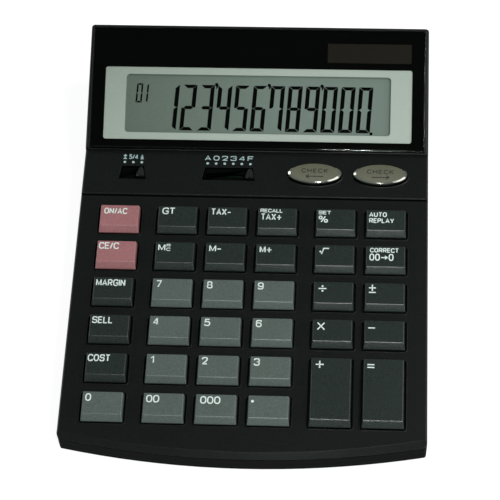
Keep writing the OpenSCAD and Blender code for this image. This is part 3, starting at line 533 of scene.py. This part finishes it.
def pale_frame():
    """The frame round the display: pale grey green, darker at its left end, and with painted light that
    makes it lighter to the front than at its back.
    """
    material, tree, surface = new_material("pale_frame")
    place = object_place(tree)
    parts = parts_of(tree, place)
    low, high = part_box("lcd_frame")
    along = spread(tree, parts["X"], 0, 1, low.x, TONE_END * high.x)
    # Painted light: the frame is lighter toward its front
    across = spread(tree, parts["Y"], 0, 1, high.y, low.y)
    tone = blend(tree, along, srgb(136, 148, 136), srgb(163, 175, 165))
    lit = blend(tree, across, tone, srgb(182, 194, 184))
    toned = blend(tree, FRAME_PAINTED_LIGHT, tone, lit)
    grain = noise(tree, place, FRAME_GRAIN)
    speckle = blend(tree, spread(tree, grain, 0, 0.25), toned, srgb(208, 219, 208))
    bump = add(tree, "ShaderNodeBump", {"Height": grain, "Distance": DISPLAY_DEPTH, "Strength": 1.0})
    shader = add(tree, "ShaderNodeBsdfPrincipled", {
        "Base Color": speckle,
        "Roughness": spread(tree, grain, 0.45, 0.55),
        "Specular IOR Level": 0.2,
        "Normal": bump.outputs["Normal"],
    })
    tree.links.new(shader.outputs["BSDF"], surface)
    return material


def bright_metal():
    """Plated metal of the oval keys: the top brushed, with a painted reflection that makes it darker to
    the back, the rest polished.
    """
    material, tree, surface = new_material("bright_key")
    place = object_place(tree)
    brushed = add(tree, "ShaderNodeMapping", {"Vector": place, "Scale": BRUSH_STRETCH})
    lines = noise(tree, brushed.outputs["Vector"], BRUSH_SIZE)
    cloud = noise(tree, place, CLOUD_SIZE)
    low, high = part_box(OVAL_KEYS[0])
    # Painted reflection: the top of the metal is darker to the back
    back = spread(tree, parts_of(tree, place)["Y"], 0, 1, low.y, high.y)
    painted_reflection = blend(tree, back, srgb(192, 192, 172), srgb(148, 146, 118))
    tone = blend(tree, spread(tree, cloud, 0, 0.3), painted_reflection, srgb(182, 180, 156))
    bump = add(tree, "ShaderNodeBump", {"Height": lines, "Distance": BRUSH_DEPTH, "Strength": 1.0})
    satin = add(tree, "ShaderNodeBsdfPrincipled", {
        "Base Color": tone,
        "Metallic": 0.75,
        "Roughness": spread(tree, lines, 0.14, 0.24),
        "Normal": bump.outputs["Normal"],
    })
    plating = blend(tree, spread(tree, cloud, 0, 1), srgb(190, 192, 180), srgb(206, 208, 198))
    polished = add(tree, "ShaderNodeBsdfPrincipled", {
        "Base Color": plating,
        "Metallic": 1.0,
        "Roughness": spread(tree, lines, 0.08, 0.14),
    })
    top = spread(tree, parts_of(tree, object_normal(tree))["Z"], 0, 1, *TOP_FACING)
    mixed = add(tree, "ShaderNodeMixShader", {0: top, 1: polished.outputs[0], 2: satin.outputs[0]})
    tree.links.new(mixed.outputs[0], surface)
    return material


def key_finish(name, colour, grit, mottle=0.06):
    """Satin plastic of the keycaps, with painted shade at the foot and low on the sides."""
    return moulded(name, colour, 0.27, grain=KEY_GRAIN, mottle=mottle, grit=grit, shade=key_painted_shade)


def finishes():
    """The material of every CAD node."""
    # The case has painted shade in its wells, groove and switch recesses
    case = moulded("case", srgb(15, 19, 17), 0.36, specular=0.25, grit=0.45, shade=recess_painted_shade)
    dark = key_finish("key_dark", srgb(36, 44, 41), 0.35)
    grey = key_finish("key_grey", srgb(86, 96, 92), 0.2, mottle=0.04)
    red = key_finish("key_red", srgb(158, 108, 110), 0.15, mottle=0.04)
    bright = bright_metal()
    knob = moulded("knob", srgb(9, 11, 10), 0.16, specular=1.0)
    steel = moulded("steel", srgb(176, 178, 180), 0.3, metallic=1.0, depth=0.003 * MM)
    made = {
        "upper_case": case,
        "lower_case": moulded("lower_case", srgb(14, 16, 15), 0.55, specular=0.01),
        "battery_cover": moulded("battery_cover", srgb(14, 16, 15), 0.55, specular=0.01),
        "display_window": clear_window(),
        "window_mask": moulded("black_print", srgb(4, 5, 4), 0.7, specular=0.0),
        "lcd_frame": pale_frame(),
        "lcd_glass": display_glass(),
        "solar_cell": moulded("solar_glass", srgb(31, 29, 23), 0.25, specular=0.1),
        "circuit_board": moulded("board", srgb(40, 84, 56), 0.45),
        "chip_cap": moulded("resin", srgb(18, 18, 19), 0.3),
        "rubber_keypad": moulded("keypad_rubber", srgb(17, 19, 18), 0.7, specular=0.2, sheen=0.02),
        "lcd_ribbon": moulded("ribbon_film", srgb(150, 112, 60), 0.35),
        "solar_wires": moulded("wire_sleeve", srgb(140, 30, 28), 0.4),
        "rubber_feet": moulded("foot_rubber", srgb(26, 26, 27), 0.8, depth=0.02 * MM),
    }
    for name in STEEL_NODES:
        made[name] = steel
    for name in KNOBS:
        made[name] = knob
    for name in OVAL_KEYS:
        made[name] = bright
    for name in ALL_KEYS:
        made[name] = dark
    for name in GREY_KEYS:
        made[name] = grey
    for name in RED_KEYS:
        made[name] = red
    return made


def dress(made):
    """Gives every CAD node its material."""
    for name, node in frame["nodes"].items():
        for slot in node.material_slots:
            slot.material = made[name]


# Radius of the rounded edges, the angles that count as flat and as an edge, and the weight that lets
# large faces set the shading of small ones
KEY_EDGE = 0.4 * MM
KNOB_EDGE = 0.3 * MM
CASE_EDGE = 0.1 * MM
WINDOW_EDGE = 0.35 * MM
FLAT_ANGLE = math.radians(1)
EDGE_ANGLE = math.radians(25)
FACE_WEIGHT = 100


def ease_edges(node, radius, segments=2):
    """Rounds the sharp edges of a CAD node as it is shown. Its own mesh stays."""
    weld = node.modifiers.new("weld", "WELD")
    weld.merge_threshold = SAME_PLACE
    flat = node.modifiers.new("flat", "DECIMATE")
    flat.decimate_type = "DISSOLVE"
    flat.angle_limit = FLAT_ANGLE
    edge = node.modifiers.new("edge", "BEVEL")
    edge.width = radius
    edge.segments = segments
    edge.limit_method = "ANGLE"
    edge.angle_limit = EDGE_ANGLE
    edge.use_clamp_overlap = False
    shade = node.modifiers.new("shade", "WEIGHTED_NORMAL")
    shade.weight = FACE_WEIGHT


# Legends of the keys, in mm from the left and back edges of the key's top

SIGN_LINE = 0.5

# Text, left, back, width, height
KEY_WORDS = {
    "key_all_clear": [("ON/AC", 1.4, 1.4, 9.3, 2.8)],
    "key_grand_total": [("GT", 1.5, 0.8, 5.2, 3.1)],
    "key_tax_minus": [("TAX-", 1.1, 0.8, 8.1, 3.0)],
    "key_tax_plus": [("RECALL", 0.8, 0.5, 9.0, 1.7), ("TAX+", 1.1, 2.7, 8.4, 3.0)],
    "key_percent": [("SET", 0.8, 0.9, 5.0, 1.7), ("%", 0.8, 3.2, 3.8, 3.2)],
    "key_auto_replay": [("AUTO", 0.9, 1.1, 7.1, 2.2), ("REPLAY", 0.9, 3.9, 10.0, 2.2)],
    "key_clear": [("CE/C", 0.6, 0.8, 8.0, 3.0)],
    "key_memory_recall": [("M", 1.0, 1.1, 2.9, 3.0), ("R", 4.3, 1.0, 1.6, 1.4),
                          ("C", 4.3, 2.7, 1.6, 1.5)],
    "key_memory_minus": [("M-", 1.3, 1.1, 4.9, 3.0)],
    "key_memory_plus": [("M+", 1.3, 1.1, 4.9, 3.0)],
    "key_correct": [("CORRECT", 1.5, 0.9, 11.4, 2.1), ("00>0", 1.3, 3.5, 9.6, 3.2)],
    "key_margin": [("MARGIN", 0.9, 0.9, 11.6, 3.0)],
    "key_sell": [("SELL", 0.8, 0.9, 8.1, 3.0)],
    "key_cost": [("COST", 0.5, 0.8, 8.8, 3.0)],
    "key_0": [("0", 1.0, 0.9, 2.3, 3.2)],
    "key_00": [("00", 1.0, 0.9, 5.1, 3.2)],
    "key_000": [("000", 1.6, 0.9, 7.8, 3.2)],
    "key_1": [("1", 1.5, 0.9, 1.4, 3.2)],
}
FIGURE_LEFT = 1.3
FIGURE_BACK = 0.9
FIGURE_SIZE = (2.3, 3.2)
for digit in "23456789":
    KEY_WORDS["key_" + digit] = [(digit, FIGURE_LEFT, FIGURE_BACK) + FIGURE_SIZE]

# Lines of the signs, by their points
KEY_LINES = {
    "key_root": [[(1.6, 3.2), (2.1, 2.9), (2.6, 4.1), (3.3, 1.6), (5.4, 1.6)]],
    "key_divide": [[(1.8, 3.05), (4.9, 3.05)]],
    "key_sign": [[(1.4, 2.3), (4.1, 2.3)], [(2.75, 0.9), (2.75, 3.6)], [(1.4, 4.3), (4.1, 4.3)]],
    "key_multiply": [[(1.9, 1.5), (4.6, 4.5)], [(1.9, 4.5), (4.6, 1.5)]],
    "key_minus": [[(1.4, 3.3), (4.1, 3.3)]],
    "key_plus": [[(1.7, 2.9), (4.8, 2.9)], [(3.25, 1.4), (3.25, 4.4)]],
    "key_equals": [[(1.4, 2.5), (4.1, 2.5)], [(1.4, 3.7), (4.1, 3.7)]],
}

# Dots: left, back, diameter
KEY_DOTS = {
    "key_divide": [(3.35, 2.0, 0.8), (3.35, 4.1, 0.8)],
    "key_point": [(1.55, 2.55, 1.1)],
}


def key_legend(name, material):
    """The print on one key, which rides on it."""
    face = Face(name, KEY_AXES)
    bm = bmesh.new()

    def place(left, back):
        return face.left + left * MM, face.back - back * MM

    for text, left, back, width, height in KEY_WORDS.get(name, []):
        x, y = place(left, back)
        share = SMALL_SHARE if height * MM < SMALL_HEIGHT else LINE_SHARE
        lettering(bm, text, x, y, width * MM, height * MM, share)
    for points in KEY_LINES.get(name, []):
        stroke(bm, [place(*p) for p in points], SIGN_LINE * MM)
    for left, back, diameter in KEY_DOTS.get(name, []):
        disc(bm, *place(left, back), diameter * MM)
    printed("legend_" + name, bm, KEY_AXES, face.height, name, material)


# Legends of the control strip, in mm

STRIP_LINE = 0.4
DOT_SIZE = 1.1
DOT_BACK = 4.85
LETTER_BACK = 6.3
LETTER_HIGH = 2.3
LETTER_WIDE = 2.5
HALF_UP = "5/4"
HALF_UP_WIDE = 3.7

# The sign behind each place of a switch. None stands for HALF_UP.
SWITCH_SIGNS = {"rounding_knob": ["up", None, "down"], "decimal_knob": list("A0234F")}


def strip_letter(bm, sign, x, middle):
    """A wide letter or arrow behind a switch place at x."""
    width = (LETTER_WIDE - STRIP_LINE) * MM
    low = middle + (LETTER_BACK + STRIP_LINE / 2) * MM
    letter(bm, sign, x - width / 2, low, width, (LETTER_HIGH - STRIP_LINE) * MM, STRIP_LINE * MM)


def strip_legends(material):
    """Dots and letters behind the two slide switches."""
    oval = Face(OVAL_KEYS[0], KEY_AXES)
    middle = oval.centre()[1]
    height = key_plane() + STRIP_LIFT
    for knob, signs in SWITCH_SIGNS.items():
        low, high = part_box(knob)
        last = (low.x + high.x) / 2
        bm = bmesh.new()
        for i, sign in enumerate(signs):
            x = last - (len(signs) - 1 - i) * SWITCH_PITCH
            disc(bm, x, middle + DOT_BACK * MM, DOT_SIZE * MM)
            if sign:
                strip_letter(bm, sign, x, middle)
            else:
                left = x - HALF_UP_WIDE / 2 * MM
                back = middle + (LETTER_BACK + LETTER_HIGH) * MM
                lettering(bm, HALF_UP, left, back, HALF_UP_WIDE * MM, LETTER_HIGH * MM)
        printed("legend_" + knob, bm, KEY_AXES, height, "casing", material)


# Legends of the oval keys, in mm

OVAL_TEXT = "CHECK"
OVAL_WORD = (10.7, 2.0)
OVAL_LINE_SHARE = 0.15
OVAL_GAP = 0.3
OVAL_WORD_BACK = 0.9
OVAL_ARROW = 7.0
OVAL_ARROW_FRONT = 1.8
OVAL_LINE = 0.36
OVAL_HEAD = 0.95
OVAL_HEAD_LONG = 1.2


def oval_legend(name, way, material):
    """The word and the arrow on an oval key. way is -1 for an arrow to the left."""
    face = Face(name, KEY_AXES)
    low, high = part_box(name)
    x = (low.x + high.x) / 2
    y = face.centre()[1]
    bm = bmesh.new()
    width, height = OVAL_WORD
    back = y + (OVAL_WORD_BACK + height / 2) * MM
    left = x - width / 2 * MM
    lettering(bm, OVAL_TEXT, left, back, width * MM, height * MM, OVAL_LINE_SHARE, OVAL_GAP)
    y -= OVAL_ARROW_FRONT * MM
    tip = x + way * OVAL_ARROW / 2 * MM
    stroke(bm, [(x - way * OVAL_ARROW / 2 * MM, y), (tip, y)], OVAL_LINE * MM)
    side = tip - way * OVAL_HEAD_LONG * MM
    stroke(bm, [(side, y + OVAL_HEAD * MM), (tip, y), (side, y - OVAL_HEAD * MM)], OVAL_LINE * MM)
    printed("legend_" + name, bm, KEY_AXES, face.height, name, material)


# Figures of the display, in mm from the middle of the display glass

FIGURES = "123456789000"
GROUP = 3
FIGURE_WIDE = 5.8
FIGURE_HIGH = 19.4
FIGURE_LOW = -12.0
FIGURE_PITCH = 7.27
LAST_FIGURE = 40.5

# Lean of a figure for its height, width of its upright and level segments, and their distance
SLANT = 1.2 / 19.3
UPRIGHT = 1.68
BAR = 1.42
SPLIT = 0.08

# The small count
COUNT = "01"
COUNT_LOW = -0.5
COUNT_HIGH = 8.2
COUNT_WIDE = 2.6
COUNT_LEFT = -50.8
COUNT_PITCH = 2.4
COUNT_LINE = 0.7
COUNT_SPLIT = 0.12

# Shares of an upright at which the tips of segments end: half way, a corner cut off, a tip drawn in
TIP = 0.5
CUT = 0.12
DRAWN = 0.06

# The mark after each third figure, from the right edge of that figure's place, and the decimal point
MARK = [(0.1, 5.6), (0.9, 6.3), (1.2, 7.4), (0.8, 8.3), (-0.1, 8.3), (-0.4, 7.5), (0.3, 6.7)]
POINT = [(-0.6, -12.8), (0.6, -12.8), (0.7, -11.6), (-0.5, -11.6)]
POINT_GAP = 0.5

# Lit segments: top, upper right, lower right, bottom, lower left, upper left, middle
SEGMENTS = {
    "0": "abcdef", "1": "bc", "2": "abged", "3": "abgcd", "4": "fgbc",
    "5": "afgcd", "6": "afgedc", "7": "fabc", "8": "abcdefg", "9": "abfgcd",
}


def segment_outlines(wide, high, upright, bar, split):
    """The outlines of the seven segments of one figure, mitred where they meet."""
    half = high / 2
    inner = wide - upright
    return {
        "a": [(upright * DRAWN + split, high), (upright + split, high - bar),
              (inner - split, high - bar), (wide - split, high)],
        "g": [(upright * TIP + split, half), (upright + split, half - bar / 2),
              (inner - split, half - bar / 2), (wide - upright * TIP - split, half),
              (inner - split, half + bar / 2), (upright + split, half + bar / 2)],
        "d": [(split, 0), (wide - upright * DRAWN - split, 0), (inner - split, bar),
              (upright + split, bar)],
        "f": [(0, half + split), (upright * TIP, half + split), (upright, half + bar / 2 + split),
              (upright, high - bar - split), (0, high - upright * CUT)],
        "b": [(wide, half + split), (wide, high - split), (inner, high - bar - split),
              (inner, half + bar / 2 + split), (wide - upright * TIP, half + split)],
        "e": [(0, split), (upright, bar + split), (upright, half - bar / 2 - split),
              (upright * TIP, half - split), (0, half - split)],
        "c": [(wide, upright * CUT), (wide, half - split), (wide - upright * TIP, half - split),
              (inner, half - bar / 2 - split), (inner, bar + split)],
    }


def turned(outline):
    """The outline counter-clockwise."""
    area = sum(p[0] * q[1] - q[0] * p[1] for p, q in zip(outline, outline[1:] + outline[:1]))
    return outline if area > 0 else outline[::-1]


def figure(bm, digit, left, low, outlines):
    """One figure of the display. left and low are in mm, from the middle of the glass."""
    for name in SEGMENTS[digit]:
        points = [(left + x + SLANT * y, low + y) for x, y in outlines[name]]
        prism(bm, [(x * MM, y * MM) for x, y in turned(points)])


def display_figures(material):
    """A number with its marks, and the small count at the left."""
    face = Face("lcd_glass", DISPLAY_AXES)
    bm = bmesh.new()
    outlines = segment_outlines(FIGURE_WIDE, FIGURE_HIGH, UPRIGHT, BAR, SPLIT)
    for i, digit in enumerate(FIGURES):
        left = LAST_FIGURE - (len(FIGURES) - 1 - i) * FIGURE_PITCH
        figure(bm, digit, left, FIGURE_LOW, outlines)
        right = left + FIGURE_PITCH
        if (i + 1) % GROUP == 0 and i + 1 < len(FIGURES):
            prism(bm, [((right + x) * MM, y * MM) for x, y in turned(MARK)])
    point = LAST_FIGURE + FIGURE_WIDE + POINT_GAP
    prism(bm, [((point + x) * MM, y * MM) for x, y in POINT])
    small = segment_outlines(COUNT_WIDE, COUNT_HIGH, COUNT_LINE, COUNT_LINE, COUNT_SPLIT)
    for i, digit in enumerate(COUNT):
        figure(bm, digit, COUNT_LEFT + i * COUNT_PITCH, COUNT_LOW, small)
    x, y = face.centre()
    bmesh.ops.translate(bm, vec=(x, y, 0), verts=bm.verts)
    printed("display_figures", bm, DISPLAY_AXES, face.height, "casing", material)


# Stage: floor, light and camera

# Floor: half its width in metres, how light it is to the lamps, and to the eye its shadow and glow
FLOOR_SIZE = 30.0
FLOOR_MATT = 0.8
FLOOR_SHADE = 0.3
FLOOR_GLOW = 0.86

# Camera: what it looks at, its place and roll in degrees and metres, and its lens and sensor in mm
CAMERA_AIM = Vector((-0.3, -2.78, 16.0)) * MM
CAMERA_AZIMUTH = 6.53
CAMERA_ELEVATION = 58.19
CAMERA_DISTANCE = 0.797
CAMERA_ROLL = -4.388
CAMERA_LENS = 144.0
SENSOR = 36.0

# Colours of the lamps
WHITE = (1, 1, 1)
COOL = (0.86, 1.0, 0.96)

# The room from the horizon up: height of the way looked, and how light it is there
ROOM_STOPS = [(0.0, 0.35), (0.3, 0.18), (0.75, 0.18), (0.87, 0.06), (0.93, 0.11), (0.97, 0.03)]

# Name, azimuth and elevation in degrees, distance, width and height in metres, watts, colour
LAMPS = [
    ("light_front", 3, 64, 1.2, 0.04, 0.12, 3.4, WHITE),
    ("light_near", 11, 36, 0.32, 0.022, 0.022, 0.05, WHITE),
    ("light_main", 90, 62, 1.2, 0.6, 0.35, 5.9, WHITE),
    ("light_right", 80, 20, 1.2, 1.8, 0.35, 6.0, WHITE),
    ("light_left", -126, 35, 1.2, 0.5, 0.4, 1.5, WHITE),
    ("light_low", 3, 22, 1.2, 0.1, 0.1, 0.38, COOL),
    ("light_rim", 60, 46, 1.2, 1.2, 0.22, 1.4, WHITE),
]


def direction(azimuth, elevation):
    """The way to a place seen from the object: azimuth 0 is the front, 90 the right side."""
    a, e = math.radians(azimuth), math.radians(elevation)
    return Vector((math.sin(a) * math.cos(e), -math.cos(a) * math.cos(e), math.sin(e)))


def even(value):
    """A grey, in linear light."""
    return value, value, value, 1


def floor():
    """A plain floor. To the eye and in reflections it glows white, with the shadow kept."""
    bm = bmesh.new()
    bmesh.ops.create_grid(bm, x_segments=4, y_segments=4, size=FLOOR_SIZE)
    mesh = bpy.data.meshes.new("floor")
    bm.to_mesh(mesh)
    bm.free()
    made = bpy.data.objects.new("floor", mesh)
    bpy.context.scene.collection.objects.link(made)
    material, tree, surface = new_material("floor")
    matt = add(tree, "ShaderNodeBsdfDiffuse", {"Color": even(FLOOR_MATT)})
    shade = add(tree, "ShaderNodeBsdfDiffuse", {"Color": even(FLOOR_SHADE)})
    glow = add(tree, "ShaderNodeEmission", {"Color": even(1), "Strength": FLOOR_GLOW})
    seen = add(tree, "ShaderNodeAddShader", {0: shade.outputs[0], 1: glow.outputs[0]})
    path = add(tree, "ShaderNodeLightPath").outputs
    either = math_node(tree, "MAXIMUM", path["Is Camera Ray"], path["Is Glossy Ray"])
    white = math_node(tree, "MAXIMUM", either, path["Is Transmission Ray"])
    mixed = add(tree, "ShaderNodeMixShader", {0: white, 1: matt.outputs[0], 2: seen.outputs[0]})
    tree.links.new(mixed.outputs[0], surface)
    mesh.materials.append(material)


def world():
    """A soft room: pale round the horizon, darker overhead."""
    made = bpy.data.worlds.new("room")
    bpy.context.scene.world = made
    made.use_nodes = True
    tree = made.node_tree
    tree.nodes.clear()
    output = add(tree, "ShaderNodeOutputWorld")
    way = add(tree, "ShaderNodeTexCoord").outputs["Generated"]
    ramp = add(tree, "ShaderNodeValToRGB", {"Fac": parts_of(tree, way)["Z"]})
    stops = ramp.color_ramp.elements
    stops[0].position = ROOM_STOPS[0][0]
    stops[1].position = ROOM_STOPS[-1][0]
    for place, _ in ROOM_STOPS[1:-1]:
        stops.new(place)
    for stop, (_, lightness) in zip(stops, ROOM_STOPS):
        stop.color = tuple(lightness * c for c in COOL) + (1,)
    glow = add(tree, "ShaderNodeBackground", {"Color": ramp.outputs["Color"], "Strength": 1.0})
    tree.links.new(glow.outputs[0], output.inputs["Surface"])


def soft_light(name, azimuth, elevation, distance, width, height, watts, colour):
    """A rectangular lamp that looks at the object."""
    lamp = bpy.data.lights.new(name, "AREA")
    lamp.shape = "RECTANGLE"
    lamp.size = width
    lamp.size_y = height
    lamp.energy = watts
    lamp.color = colour
    made = bpy.data.objects.new(name, lamp)
    way = direction(azimuth, elevation)
    made.location = CAMERA_AIM + way * distance
    made.rotation_mode = "QUATERNION"
    made.rotation_quaternion = (-way).to_track_quat("-Z", "Y")
    bpy.context.scene.collection.objects.link(made)


def lights():
    """A broad low light at the right and one over it, a weak one behind the left.

    Narrow ones in front, high, low and near, give the facets and edges their gloss, and a wide faint
    one at the front right lights the rims of the oval keys.
    """
    for lamp in LAMPS:
        soft_light(*lamp)


def camera():
    """The camera of the photo."""
    lens = bpy.data.cameras.new("camera")
    lens.sensor_width = SENSOR
    lens.lens = CAMERA_LENS
    made = bpy.data.objects.new("camera", lens)
    way = direction(CAMERA_AZIMUTH, CAMERA_ELEVATION)
    made.location = CAMERA_AIM + way * CAMERA_DISTANCE
    made.rotation_mode = "QUATERNION"
    roll = Quaternion((0, 0, 1), math.radians(CAMERA_ROLL))
    made.rotation_quaternion = (-way).to_track_quat("-Z", "Y") @ roll
    bpy.context.scene.collection.objects.link(made)
    bpy.context.scene.camera = made


# The scene

camera()
lights()
world()
floor()
dress(finishes())

for key in ALL_KEYS:
    ease_edges(frame["nodes"][key], KEY_EDGE, segments=3)
for knob in KNOBS:
    ease_edges(frame["nodes"][knob], KNOB_EDGE)
ease_edges(frame["nodes"]["upper_case"], CASE_EDGE)
ease_edges(frame["nodes"]["display_window"], WINDOW_EDGE, segments=3)

white_print = moulded("white_print", srgb(220, 233, 228), 0.5, mottle=0.03)
teal_print = moulded("teal_print", srgb(165, 190, 188), 0.5, mottle=0.03)
dark_print = moulded("dark_print", srgb(30, 31, 27), 0.5, mottle=0.03)
figure_print = moulded("figure_print", srgb(6, 7, 6), 0.6, specular=0.0)
for key in ALL_KEYS:
    key_legend(key, white_print)
strip_legends(teal_print)
oval_legend(OVAL_KEYS[0], -1, dark_print)
oval_legend(OVAL_KEYS[1], 1, dark_print)
display_figures(figure_print)

bpy.context.scene.view_settings.view_transform = "Standard"
